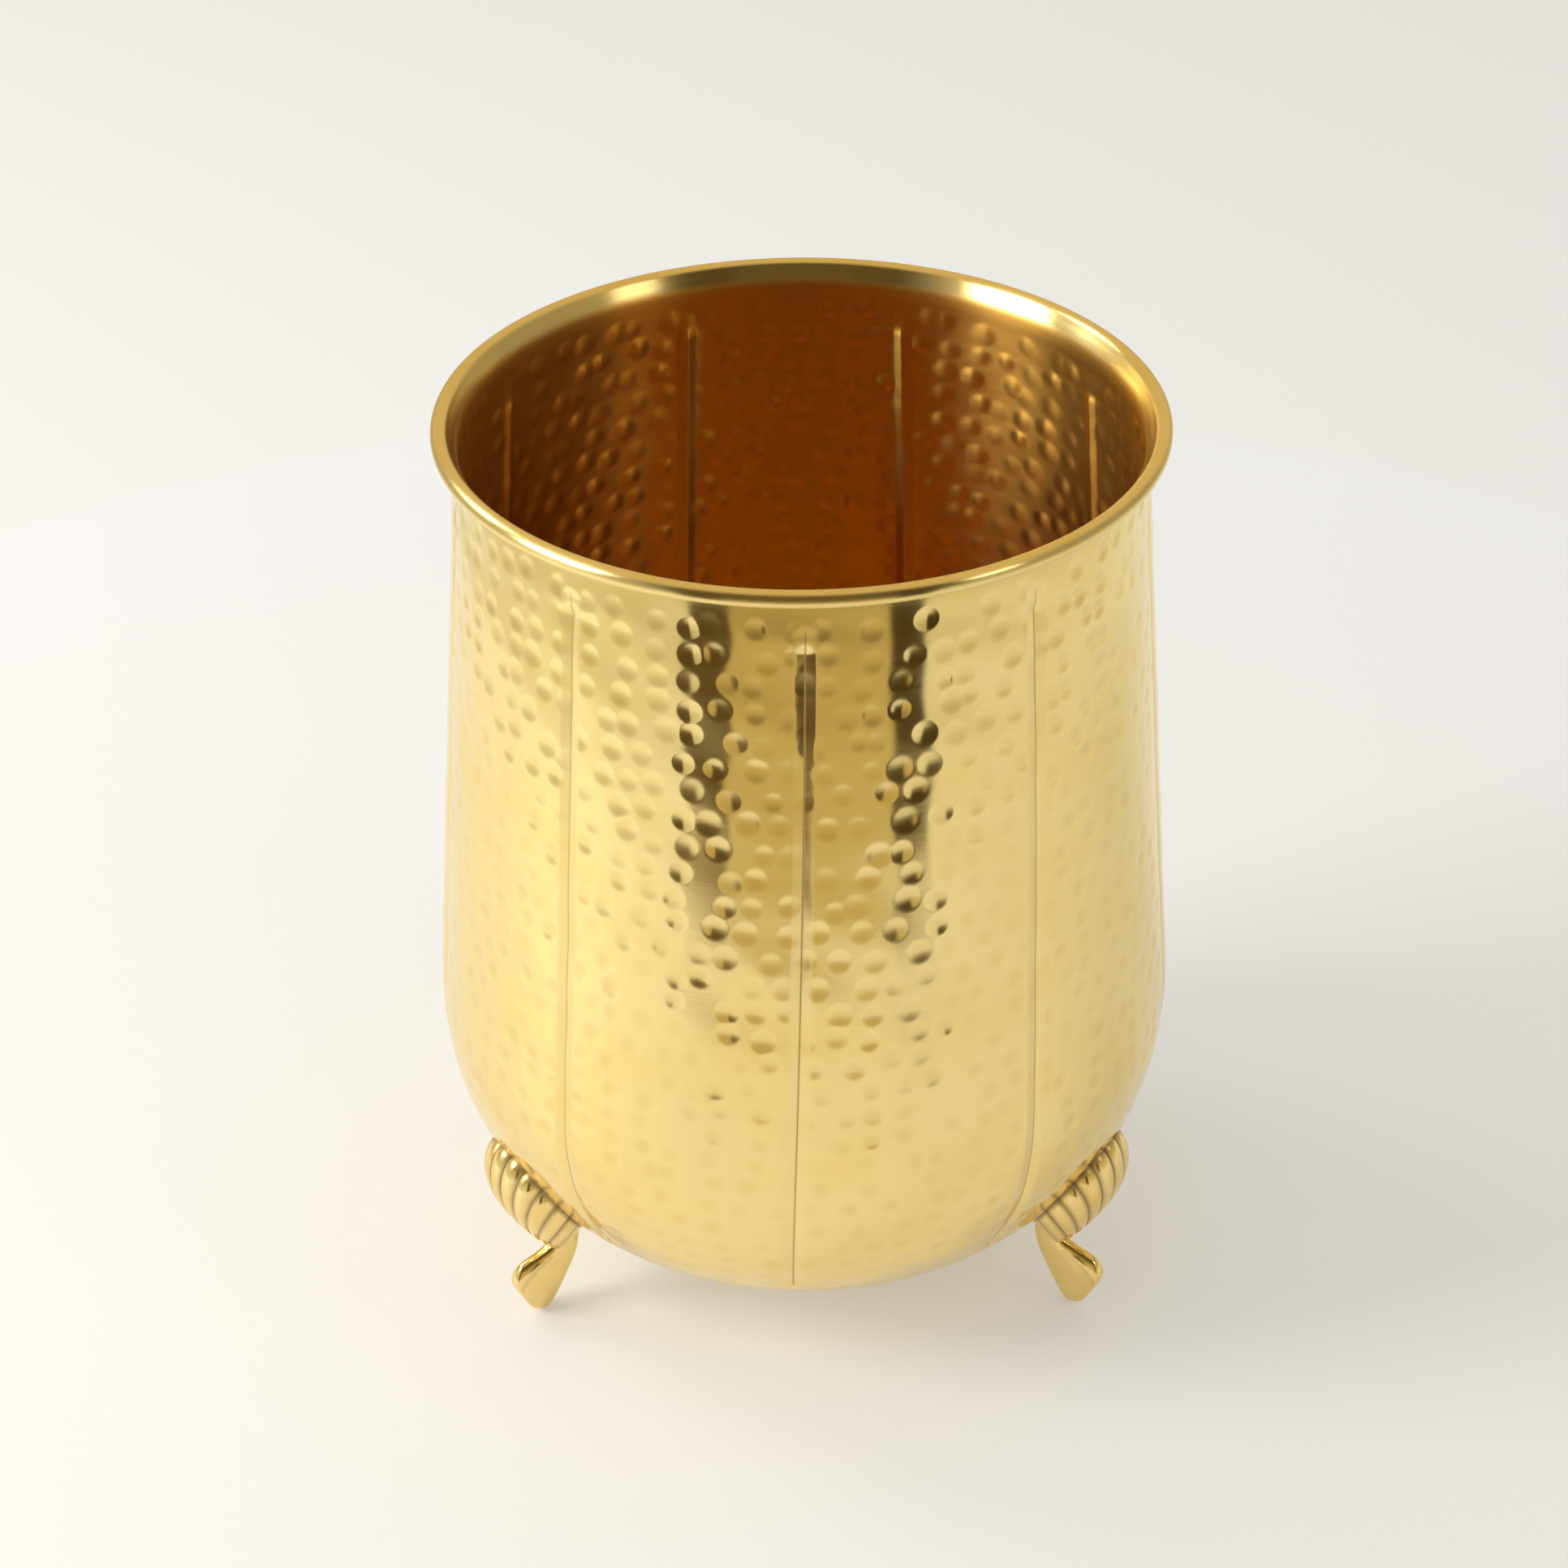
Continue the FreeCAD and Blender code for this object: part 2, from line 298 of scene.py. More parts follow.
# Depth of a groove at a sideways distance from its valley: a vee (1 - |aside| / halfWidth)^power in a
# broad hollow exp(-(aside / width)^2), deeper at the top and faded out at both ends, with a round dent
# at its top end.
def grooveDepth(aside, height):
    ends = smoothStep((groove["top"] - height) / groove["topFade"])
    ends = ends * smoothStep((height - groove["bottom"]) / groove["bottomFade"])
    vee = np.clip(1 - np.abs(aside) / groove["halfWidth"], 0, 1) ** groove["power"]
    hollow = np.exp(-((aside / groove["shoulderWidth"]) ** 2))
    apart = (aside**2 + (height - groove["top"]) ** 2) / groove["dentRadius"] ** 2
    dent = groove["dentDepth"] * np.clip(1 - apart, 0, 1) ** groove["dentPower"]
    extra = groove["topExtra"] * smoothStep((height - groove["extraFrom"]) / groove["extraOver"])
    pressed = groove["depth"] * (1 + extra) * vee + groove["shoulder"] * hollow
    return ends * pressed + dent * (1 - ends)


markShape = (hammer["columns"], hammer["rows"])
markAcross = dice.uniform(-1, 1, markShape) * hammer["acrossSpread"]
markAlong = dice.uniform(-1, 1, markShape) * hammer["alongSpread"]
markRadius = hammer["radius"] * (1 + dice.uniform(-1, 1, markShape) * hammer["radiusSpread"])
markDepth = hammer["depth"] * (1 + dice.uniform(-1, 1, markShape) * hammer["depthSpread"])
markDepth[dice.uniform(0, 1, markShape) < hammer["missing"]] = 0
markShift = dice.uniform(0, 1, markShape[1])    # each row starts its count anywhere


# Depth of the hammer marks: each cell of a loose grid holds one shallow round cap, (1 - q^2)^power with q
# the distance from its centre over its radius. Every point looks at its own cell and the eight round it.
def hammerDepth(angle, run, radius, height):
    pitch = 2 * math.pi / hammer["columns"]
    column = angle / pitch
    row = (rows["neckRun"] - hammer["firstRow"] - run) / hammer["rowPitch"] + 0.5
    lastRow = (rows["neckRun"] - hammer["firstRow"] - hammer["lowest"]) / hammer["rowPitch"]
    deepest = np.zeros(np.broadcast(angle, run).shape)
    for acrossStep in (-1, 0, 1):
        for alongStep in (-1, 0, 1):
            r = np.floor(row).astype(int) + alongStep
            level = np.clip(r, 0, markShape[1] - 1)
            counted = column + markShift[level]
            c = np.floor(counted).astype(int) + acrossStep
            cell = (c % hammer["columns"], level)
            across = (counted - c - 0.5) * pitch * radius - markAcross[cell]
            along = (row - r - 0.5) * hammer["rowPitch"] - markAlong[cell]
            q = (across**2 + along**2) / markRadius[cell] ** 2
            inside = (r >= 0) & (r <= lastRow)
            cap = markDepth[cell] * np.clip(1 - q, 0, 1) ** hammer["power"] * inside
            deepest = np.maximum(deepest, cap)
    fade = smoothStep((height - hammer["fadeFrom"]) / hammer["fadeOver"])
    return deepest * (hammer["fadeLeft"] + (1 - hammer["fadeLeft"]) * fade)


waveAround = dice.integers(wave["around"][0], wave["around"][1], wave["count"])
waveAlong = dice.uniform(wave["along"][0], wave["along"][1], wave["count"])
wavePhase = dice.uniform(0, 2 * math.pi, wave["count"])


# Slow unevenness of the sheet: a sum of sine waves that go round and along it.
def waveHeight(angle, run):
    total = np.zeros(np.broadcast(angle, run).shape)
    for around, along, phase in zip(waveAround, waveAlong, wavePhase):
        total += np.sin(around * angle + along * run + phase)
    calm = smoothStep((rows["neckRun"] - run) / wave["calmOver"])
    return wave["height"] * total * calm


# Columns of one panel as shares of its width: fine steps beside both valleys, even steps between.
def panelShares():
    width = 2 * math.pi * place["bellyRadius"] / vessel["panels"]
    fine = np.arange(vessel["fineColumns"]) * vessel["fineStep"] / width
    left = fine[-1] + vessel["fineStep"] / width
    middle = int(round((1 - 2 * left) * width / vessel["columnStep"] / 2)) * 2
    return np.concatenate([fine, np.linspace(left, 1 - left, middle + 1), 1 - fine[::-1]])


# Points of one face of a panel. The outer face stands off the outline by its waves less groove and marks;
# the inner face is the same with deeper marks, one sheet thickness inside. Normals are cross products of
# the steps between neighbours, with a spare column past each valley, so that shading runs on from panel to
# panel. The fields say how much of a point is valley, hammer mark and inside of the pot; the material
# paints shade on all three.
def panelFace(index, shares, inset):
    shares = np.concatenate([[-shares[1]], shares, [1 + shares[1]]])
    height = rows["height"][:, None]
    run = rows["run"][:, None]
    left = valleyAngle(index, height)
    right = valleyAngle(index + 1, height)
    angle = left + shares[None, :] * (right - left)
    radius = rows["radius"][:, None]
    aside = np.minimum(angle - left, right - angle) * radius
    below = run < rows["neckRun"] + vessel["workedPast"]
    grooved = grooveDepth(aside, height) * below
    clear = smoothStep((np.abs(aside) - hammer["clearFrom"]) / hammer["clearOver"])
    marked = hammerDepth(angle, run, radius, height) * below
    marked = marked * (hammer["clearLeft"] + (1 - hammer["clearLeft"]) * clear)
    marked = marked * (hammer["innerShare"] if inset else 1)
    stand = (waveHeight(angle, run) - vessel["sunk"]) * below - grooved - marked - inset
    reach = radius + rows["outR"][:, None] * stand
    level = height + rows["outZ"][:, None] * stand
    points = np.stack([reach * np.sin(angle), -reach * np.cos(angle), level], -1)
    normals = np.cross(points[:, 2:] - points[:, :-2], np.gradient(points, axis=0)[:, 1:-1])
    normals *= (-1 if inset else 1) / np.linalg.norm(normals, axis=-1, keepdims=True)
    valleyShade = [
        groove["valleyShade"].get(side % vessel["panels"], groove["valleyShadeElse"]) for side in (index, index + 1)
    ]
    # painted shade along the valley, growing with the groove's depth
    valley = np.exp(-((aside / groove["paintedShading"]) ** 2))
    valley = valley * smoothStep(grooved / groove["depth"] * groove["shadingGrowth"])
    valley = valley * np.where(shares < 0.5, *valleyShade) * (0 if inset else 1)
    mark = marked / hammer["depth"]
    within = (1 - smoothStep((run - rows["neckRun"]) / vessel["rimBlend"])) * (1 if inset else 0)
    within = np.broadcast_to(within, mark.shape)
    fields = {"valley": valley, "mark": mark, "inside": within}
    fields = {name: values[:, 1:-1].reshape(-1) for name, values in fields.items()}
    return points[:, 1:-1].reshape(-1, 3), normals.reshape(-1, 3), fields


# Vertex numbers of the quads of a grid, columns running to the right and rows upwards seen from outside.
def gridFaces(rowCount, columnCount, first):
    corner = first + np.arange(rowCount - 1)[:, None] * columnCount + np.arange(columnCount - 1)[None, :]
    corner = corner.reshape(-1, 1)
    return corner + np.array([0, 1, columnCount + 1, columnCount])


# A mesh object from points and faces. Its texture space is counted from the pot's axis, so that brushed
# reflections follow the turning.
def meshPiece(name, points, faces, smooth, fields, material):
    mesh = bpy.data.meshes.new(name)
    mesh.from_pydata(points, [], faces)
    mesh.polygons.foreach_set("use_smooth", smooth)
    for field, values in fields.items():
        mesh.attributes.new(field, "FLOAT", "POINT").data.foreach_set("value", values.astype(np.float32))
    mesh.materials.append(material)
    mesh.use_auto_texspace = False
    mesh.texspace_location = (0, 0, place["rim"] / 2)
    mesh.texspace_size = (place["rim"], place["rim"], place["rim"])
    mesh.update()
    piece = bpy.data.objects.new(name, mesh)
    bpy.context.scene.collection.objects.link(piece)
    return piece


# Hides the imported node that a piece stands in for and lets the piece ride the one body.
def settle(piece, node):
    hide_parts(node)
    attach(piece, "root")


# One closed panel of the sheet between two valleys: outer grid, inner grid with half the columns, and walls
# round the edge that close it.
def makePanel(index, material):
    shares = panelShares()
    outer, outerNormals, outerFields = panelFace(index, shares, 0)
    inner, innerNormals, innerFields = panelFace(index, shares[::2], vessel["sheet"])
    rowCount, wide, narrow = len(rows["run"]), len(shares), len(shares[::2])
    first = len(outer)
    outerQuads = gridFaces(rowCount, wide, 0)
    innerQuads = gridFaces(rowCount, narrow, first)[:, ::-1]
    low = np.arange(rowCount - 1)
    outerLeft, innerLeft = low * wide, first + low * narrow
    outerRight, innerRight = outerLeft + wide - 1, innerLeft + narrow - 1
    leftWall = np.stack([outerLeft, outerLeft + wide, innerLeft + narrow, innerLeft], 1)
    rightWall = np.stack([outerRight, innerRight, innerRight + narrow, outerRight + wide], 1)
    pair = np.arange(narrow - 1)
    foot = np.stack([2 * pair, first + pair, first + pair + 1, 2 * pair + 2, 2 * pair + 1], 1)
    topOuter = (rowCount - 1) * wide + 2 * pair
    topInner = first + (rowCount - 1) * narrow + pair
    head = np.stack([topOuter, topOuter + 1, topOuter + 2, topInner + 1, topInner], 1)
    faces = [*outerQuads.tolist(), *innerQuads.tolist(), *leftWall.tolist(), *rightWall.tolist()]
    faces += [*foot.tolist(), *head.tolist()]
    smooth = np.arange(len(faces)) < len(outerQuads) + len(innerQuads)
    fields = {name: np.concatenate([outerFields[name], innerFields[name]]) for name in outerFields}
    piece = meshPiece(
        "pot_panel_" + str(index + 1), np.concatenate([outer, inner]), faces, smooth, fields, material
    )
    piece.data.normals_split_custom_set_from_vertices(np.concatenate([outerNormals, innerNormals]))
    settle(piece, "pot_body")
    return piece


base = {"rings": 60, "spokes": 180, "dish": 0.0004, "lap": 0.0002}


# The flat base: rings of points from the middle out, dished by (1 + cos) / 2, with an upper face one sheet
# thickness higher and a wall that joins them.
def makeBase(material):
    reach = place["bowlCentre"] + place["bowlRadius"] * math.sin(math.radians(vessel["baseSlope"]))
    reach += base["lap"]
    share = np.linspace(0, 1, base["rings"] + 1)[1:, None]
    turn = np.linspace(0, 2 * math.pi, base["spokes"], endpoint=False)[None, :]
    x = reach * share * np.sin(turn)
    y = -reach * share * np.cos(turn)
    lift = np.broadcast_to(base["dish"] * (1 + np.cos(math.pi * share)) / 2, x.shape)
    under = np.stack([x, y, place["base"] + lift], -1).reshape(-1, 3)
    upper = under + np.array([0, 0, vessel["sheet"]])
    peak = place["base"] + base["dish"]
    middle = np.array([[0, 0, peak], [0, 0, peak + vessel["sheet"]]])
    points = np.concatenate([under, upper, middle])
    spokes, count = base["spokes"], len(under)
    here = np.arange(spokes)
    beside = (here + 1) % spokes
    ring = np.arange(base["rings"] - 1)[:, None] * spokes
    inner, outer = (ring + here).reshape(-1), (ring + spokes + here).reshape(-1)
    innerNext, outerNext = (ring + beside).reshape(-1), (ring + spokes + beside).reshape(-1)
    underQuads = np.stack([inner, innerNext, outerNext, outer], 1)
    upperQuads = underQuads[:, ::-1] + count
    rim = (base["rings"] - 1) * spokes
    wall = np.stack([rim + here, rim + beside, count + rim + beside, count + rim + here], 1)
    underFan = np.stack([np.full(spokes, 2 * count), beside, here], 1)
    upperFan = np.stack([np.full(spokes, 2 * count + 1), count + here, count + beside], 1)
    faces = [*underQuads.tolist(), *upperQuads.tolist()]
    faces += [*underFan.tolist(), *upperFan.tolist(), *wall.tolist()]
    smooth = np.arange(len(faces)) < len(faces) - spokes
    fields = {
        "valley": np.zeros(len(points)),
        "mark": np.zeros(len(points)),
        "inside": np.concatenate([np.zeros(count), np.ones(count), [0, 1]]),
    }
    piece = meshPiece("pot_base", points, faces, smooth, fields, material)
    settle(piece, "pot_body")
    return piece


shell = {
    "hinge": 49.4,            # degrees below level on the bowl
    "length": 0.0390,         # hinge to lip, along the bowl
    "spread": 1.15,           # power of the cosine that shortens the side ribs
    "height": 0.0123,
    "crown": (4.0, 0.7),      # powers of the profile from hinge to lip
    "lobePitch": 10.4,        # degrees of fan
    "lobeReach": 67.0,        # degrees of fan that are fluted, each side
    "lobePower": 0.7,
    "lobeDepth": 0.0010,
    "lobeFade": 0.32,         # share of a rib over which its flutes grow
    "lobeEdge": 3.0,          # degrees over which the flutes end at the sides
    "lipShare": 0.020,        # share of a rib that takes painted shade at the lip, where it meets the bowl
    "heart": (0.018, -0.006), # along and up, where the flutes point
    "sink": 0.0004,           # below the bowl's face
    "underSink": 0.0006,
    "sharpAngle": 50,
    "fans": 240,
    "steps": 56,
    "under": 6,
}

leg = {
    "front": [                # (radius, height) in mm, from the knee to the toe
        (91, 31), (89, 25.5), (90.5, 22.2), (94, 20.3), (97.8, 19), (100.9, 17.3), (103.0, 14),
        (102.6, 10.5), (101, 8),
    ],
    "back": [
        (80, 31), (80.8, 23), (82.0, 17), (84.6, 11), (88.2, 4.5), (91.4, 0.3), (93.6, 0),
        (96.4, 0.9), (98.6, 3.2),
    ],
    "width": 0.0072,
    "pinch": 0.17,            # share narrower at the ankle
    "pinchAt": 0.40,          # share of the way from knee to toe
    "pinchOver": 0.14,
    "corner": 2.5,            # power of the rounded oblong section
    "creaseShade": 0.25,       # painted shade along the turn from instep to side
    "creaseFrom": 0.30,
    "creaseTo": 0.85,
    "creaseFade": 0.05,
    "creaseAt": 0.62,
    "creaseWidth": 0.07,
    "around": 64,
    "between": 14,
}


# A point of the bowl's surroundings: along is the distance up the bowl from the hinge, aside the distance
# round the pot, lift the distance off the bowl's face.
def onBowl(along, aside, lift, middle):
    turn = math.radians(shell["hinge"]) - along / place["bowlRadius"]
    face = place["bowlCentre"] + place["bowlRadius"] * np.cos(turn)
    reach = place["bowlCentre"] + (place["bowlRadius"] + lift) * np.cos(turn)
    angle = middle + aside / face
    height = place["belly"] - (place["bowlRadius"] + lift) * np.sin(turn)
    return np.stack([reach * np.sin(angle), -reach * np.cos(angle), height], -1)


# The scallop: ribs fan out from the hinge. A rib's length is length * cos(fan)^spread and its height is
# height * (1 - t^a)^b, t running from hinge to lip. Valleys 1 - |cos|^power draw the surface towards the
# heart, and an underside runs from the lip back to the heart.
def shellSurface(middle):
    fan = np.linspace(-math.pi / 2, math.pi / 2, shell["fans"], endpoint=False)[None, :]
    t = np.linspace(0, 1, shell["steps"])[1:, None]
    first, second = shell["crown"]
    length = shell["length"] * np.cos(fan) ** shell["spread"]
    lobe = np.abs(np.cos(np.pi * np.degrees(fan) / shell["lobePitch"])) ** shell["lobePower"]
    fluted = smoothStep((shell["lobeReach"] - np.abs(np.degrees(fan))) / shell["lobeEdge"] + 0.5)
    recess = (1 - lobe) * fluted * smoothStep(t / shell["lobeFade"])
    along = t * length * np.cos(fan)
    aside = t * length * np.sin(fan)
    lift = np.broadcast_to(shell["height"] * (1 - t**first) ** second, along.shape)
    towards = np.stack([shell["heart"][0] - along, -aside, shell["heart"][1] - lift], -1)
    towards /= np.linalg.norm(towards, axis=-1, keepdims=True)
    move = towards * (recess * shell["lobeDepth"])[..., None]
    along, aside, lift = along + move[..., 0], aside + move[..., 1], lift + move[..., 2]
    lip = smoothStep(1 - (1 - t) / shell["lipShare"])
    shellTop = onBowl(along, aside, lift - shell["sink"], middle)
    inward = np.linspace(1, 0, shell["under"] + 1)[1:-1, None]
    underAlong = shell["heart"][0] + inward * (along[-1:] - shell["heart"][0])
    shellUnder = onBowl(underAlong, inward * aside[-1:], -shell["underSink"], middle)
    pole = onBowl(np.zeros(1), np.zeros(1), shell["height"] - shell["sink"], middle)
    heart = onBowl(np.array([shell["heart"][0]]), np.zeros(1), -shell["underSink"], middle)
    rings = np.concatenate([shellTop, shellUnder])
    # painted shade: dark in the flute valleys, at the lip where the shell meets the bowl, and all over the
    # underside
    dark = np.concatenate([np.clip(recess**2 + lip, 0, 1), np.ones(shellUnder.shape[:2])])
    return pole, rings, heart, dark


# Faces of rings closed on themselves, with a point at each end.
def ringFaces(ringCount, around, first):
    here = np.arange(around)
    beside = (here + 1) % around
    ring = first + 1 + np.arange(ringCount - 1)[:, None] * around
    quads = np.stack([
        (ring + here).reshape(-1), (ring + around + here).reshape(-1),
        (ring + around + beside).reshape(-1), (ring + beside).reshape(-1),
    ], 1)
    last = first + 1 + (ringCount - 1) * around
    startFan = np.stack([np.full(around, first), first + 1 + here, first + 1 + beside], 1)
    endFan = np.stack([np.full(around, last + around), last + beside, last + here], 1)
    return quads.tolist() + startFan.tolist() + endFan.tolist()


# A smooth curve through points, each span a cubic whose end slopes are half the step between neighbours.
def smoothThrough(points, between):
    ends = np.concatenate([2 * points[:1] - points[1:2], points, 2 * points[-1:] - points[-2:-1]])
    t = np.linspace(0, 1, between, endpoint=False)[None, :, None]
    a, b, c, d = (ends[i:len(points) - 1 + i][:, None, :] for i in range(4))
    spans = 0.5 * (
        2 * b + (c - a) * t + (2 * a - 5 * b + 4 * c - d) * t**2 + (3 * b - a - 3 * c + d) * t**3
    )
    return np.concatenate([spans.reshape(-1, points.shape[1]), points[-1:]])


# The leg: a rounded oblong section |x|^n + |y|^n = 1 carried from knee to toe between a front and a back
# line, narrowed at the ankle and cut flat at the floor.
def legSurface(middle):
    front = smoothThrough(np.array(leg["front"], float) / 1000, leg["between"])
    back = smoothThrough(np.array(leg["back"], float) / 1000, leg["between"])
    station = np.linspace(0, 1, len(front))[:, None]
    turn = np.linspace(0, 2 * math.pi, leg["around"], endpoint=False)[None, :]
    power = 2 / leg["corner"]
    fore = np.sign(np.cos(turn)) * np.abs(np.cos(turn)) ** power
    pinched = 1 - leg["pinch"] * np.exp(-(((station - leg["pinchAt"]) / leg["pinchOver"]) ** 2))
    aside = np.sign(np.sin(turn)) * np.abs(np.sin(turn)) ** power * leg["width"] / 2 * pinched
    centre, half = (front + back) / 2, (front - back) / 2
    radius = centre[:, :1] + half[:, :1] * fore
    height = np.maximum(centre[:, 1:] + half[:, 1:] * fore, 0)
    x = radius * math.sin(middle) + aside * math.cos(middle)
    y = -radius * math.cos(middle) + aside * math.sin(middle)
    rings = np.stack([x, y, height], -1)
    top, tip = rings[:1].mean(1), rings[-1:].mean(1)
    # painted shade along the leg's turn from instep to side
    crease = smoothStep((station - leg["creaseFrom"]) / leg["creaseFade"])
    crease = crease * smoothStep((leg["creaseTo"] - station) / leg["creaseFade"])
    dark = leg["creaseShade"] * crease * np.exp(-(((fore - leg["creaseAt"]) / leg["creaseWidth"]) ** 2))
    return top, rings, tip, dark


# Turns of the three feet round the axis, from the front towards +X.
footAngles = {"back": math.pi, "front_left": -math.pi / 3, "front_right": math.pi / 3}


# One cast foot: the scallop and the leg that runs out of its hinge.
def makeFoot(name, middle, material):
    pole, rings, heart, dark = shellSurface(middle)
    top, legRings, tip, legDark = legSurface(middle)
    points = [pole, rings.reshape(-1, 3), heart, top, legRings.reshape(-1, 3), tip]
    values = [np.zeros(1), dark.reshape(-1), np.ones(1), np.zeros(1), legDark.reshape(-1), np.zeros(1)]
    faces = ringFaces(rings.shape[0], rings.shape[1], 0)
    faces += ringFaces(legRings.shape[0], legRings.shape[1], rings.shape[0] * rings.shape[1] + 2)
    points, values = np.concatenate(points), np.concatenate(values)
    smooth = np.ones(len(faces), bool)
    piece = meshPiece("shell_foot_" + name, points, faces, smooth, {"recess": values}, material)
    piece.data.set_sharp_from_angle(angle=math.radians(shell["sharpAngle"]))
    settle(piece, "foot_" + name)
    return piece


# Places of the two colours and of the result among a Mix node's sockets, many of which share a name.
mixSockets = {"first": 6, "second": 7, "out": 2}


# A socket of a shader. Sums, differences and products of these and of plain numbers add Math nodes.
class Shade:
    def __init__(self, tree, socket=None):
        self.tree = tree
        self.socket = socket

    def make(self, kind, settings=None, sockets=None, out=0):
        node = self.tree.nodes.new("ShaderNode" + kind)
        for name, value in (settings or {}).items():
            if name == "stops":
                ramp = node.color_ramp.elements
                ramp.remove(ramp[0])
                ramp[0].position, ramp[0].color = value[0]
                for position, colour in value[1:]:
                    ramp.new(position).color = colour
            else:
                setattr(node, name, value)
        for name, value in (sockets or {}).items():
            if isinstance(value, Shade):
                self.tree.links.new(value.socket, node.inputs[name])
            else:
                node.inputs[name].default_value = value
        return Shade(self.tree, node.outputs[out] if node.outputs else None)

    def maths(self, operation, first, second):
        return self.make("Math", {"operation": operation}, {0: first, 1: second})

    def __add__(self, other):
        return self.maths("ADD", self, other)

    __radd__ = __add__

    def __sub__(self, other):
        return self.maths("SUBTRACT", self, other)

    def __rsub__(self, other):
        return self.maths("SUBTRACT", other, self)

    def __mul__(self, other):
        return self.maths("MULTIPLY", self, other)

    __rmul__ = __mul__

    def clipped(self):
        return self.make("Clamp", {}, {"Value": self})

    def between(self, low, high):
        return self.make("MapRange", {"interpolation_type": "SMOOTHSTEP"},
                         {"Value": self, "From Min": low, "From Max": high})

    def mixed(self, first, second):
        sockets = {"Factor": self, mixSockets["first"]: first, mixSockets["second"]: second}
        return self.make("Mix", {"data_type": "RGBA"}, sockets, mixSockets["out"])


# An empty node material and a shade to build it with.
def newMaterial(name):
    material = bpy.data.materials.new(name)
    material.use_nodes = True
    material.node_tree.nodes.clear()
    return material, Shade(material.node_tree)


# One Principled shader with the given sockets, led to the surface.
def finishMaterial(shade, sockets):
    surface = shade.make("BsdfPrincipled", {}, sockets)
    shade.make("OutputMaterial", {}, {"Surface": surface})


# Noise on Object coordinates, stretched by one scale for each axis.
def stretchedNoise(shade, scales, detail, rough):
    where = shade.make("TexCoord", {}, {}, "Object")
    scaled = shade.make("Mapping", {}, {"Vector": where, "Scale": scales})
    return shade.make("TexNoise", {}, {
        "Vector": scaled, "Scale": 1.0, "Detail": detail, "Roughness": rough,
    })


# Height of a point above the floor.
def heightOf(shade):
    where = shade.make("TexCoord", {}, {}, "Object")
    return shade.make("SeparateXYZ", {}, {"Vector": where}, "Z")


# A mesh attribute as a number.
def fieldOf(shade, name):
    return shade.make("Attribute", {"attribute_name": name}, {}, "Fac")


spunBrass = {
    "colour": (0.93, 0.74, 0.315, 1),
    "warm": (0.905, 0.69, 0.25, 1),
    # painted shade: the colour laid along the groove valleys
    "paintedShade": (0.22, 0.10, 0.03, 1),
    # painted shade: the inner face darker and more orange than the outer
    "inside": (0.77, 0.44, 0.09, 1),
    "hollow": (0.84, 0.64, 0.24, 1),      # painted shade in the hammer marks
    "markShadeShare": 0.55,
    "paintedShadeShare": 0.7,
    "brushed": ((14, 14, 2600), 4.0, 0.7),      # noise: scales, detail and roughness
    "streaks": ((5, 5, 420), 3.0, 0.6),
    "clouds": ((22, 22, 30), 3.0, 0.6),
    "brushedSpan": (0.4, 0.8),            # the noise values that count as none and as full
    "streaksSpan": (0.3, 0.7),
    "cloudsSpan": (0.4, 0.8),
    "lathe": (-0.004, 0.002),             # from the neck, where the lathe-turned bead takes over
    "roughness": 0.11,
    "brushedRough": 0.02,                 # what each field adds to the roughness
    "streaksRough": 0.02,
    "latheRough": 0.11,
    "insideRough": 0.20,
    "valleyRough": 0.15,
    "streaksHigh": 0.6,                   # streaks beside the brushing in the bump
    "insideCalm": 0.8,
    "bumpStrength": 0.3,
    "bumpHeight": 0.00002,
    "anisotropy": 0.9,
    "anisotropyTurn": 0.25,
}


# Brushed brass: long noise round the pot for the brushing, tinted and roughened by the fields of the sheet,
# which paint shade along the groove valleys, in the hammer marks and inside the pot.
def spunBrassMaterial():
    look = spunBrass
    material, shade = newMaterial("spunBrass")
    brushed = stretchedNoise(shade, *look["brushed"])
    streaks = stretchedNoise(shade, *look["streaks"])
    clouds = stretchedNoise(shade, *look["clouds"])
    valley = fieldOf(shade, "valley")
    inside = fieldOf(shade, "inside")
    mark = fieldOf(shade, "mark")
    lathe = heightOf(shade).between(*(place["neck"] + reach for reach in look["lathe"]))
    tone = clouds.between(*look["cloudsSpan"]).mixed(look["colour"], look["warm"])
    # painted shade in the hammer marks
    tone = (mark * look["markShadeShare"]).clipped().mixed(tone, look["hollow"])
    # painted shade inside the pot
    tone = inside.mixed(tone, look["inside"])
    # painted shade along the groove valleys
    tone = (valley * look["paintedShadeShare"]).clipped().mixed(tone, look["paintedShade"])
    rough = look["roughness"] + streaks.between(*look["streaksSpan"]) * look["streaksRough"]
    rough = rough + brushed.between(*look["brushedSpan"]) * look["brushedRough"]
    rough = rough + lathe * look["latheRough"] + inside * look["insideRough"] + valley * look["valleyRough"]
    lines = (brushed + streaks * look["streaksHigh"]) * (1 - inside * look["insideCalm"])
    bump = shade.make("Bump", {}, {
        "Strength": look["bumpStrength"], "Distance": look["bumpHeight"], "Height": lines,
    })
    finishMaterial(shade, {
        "Base Color": tone, "Metallic": 1.0, "Roughness": rough, "Normal": bump,
        "Anisotropic": look["anisotropy"], "Anisotropic Rotation": look["anisotropyTurn"],
    })
    return material


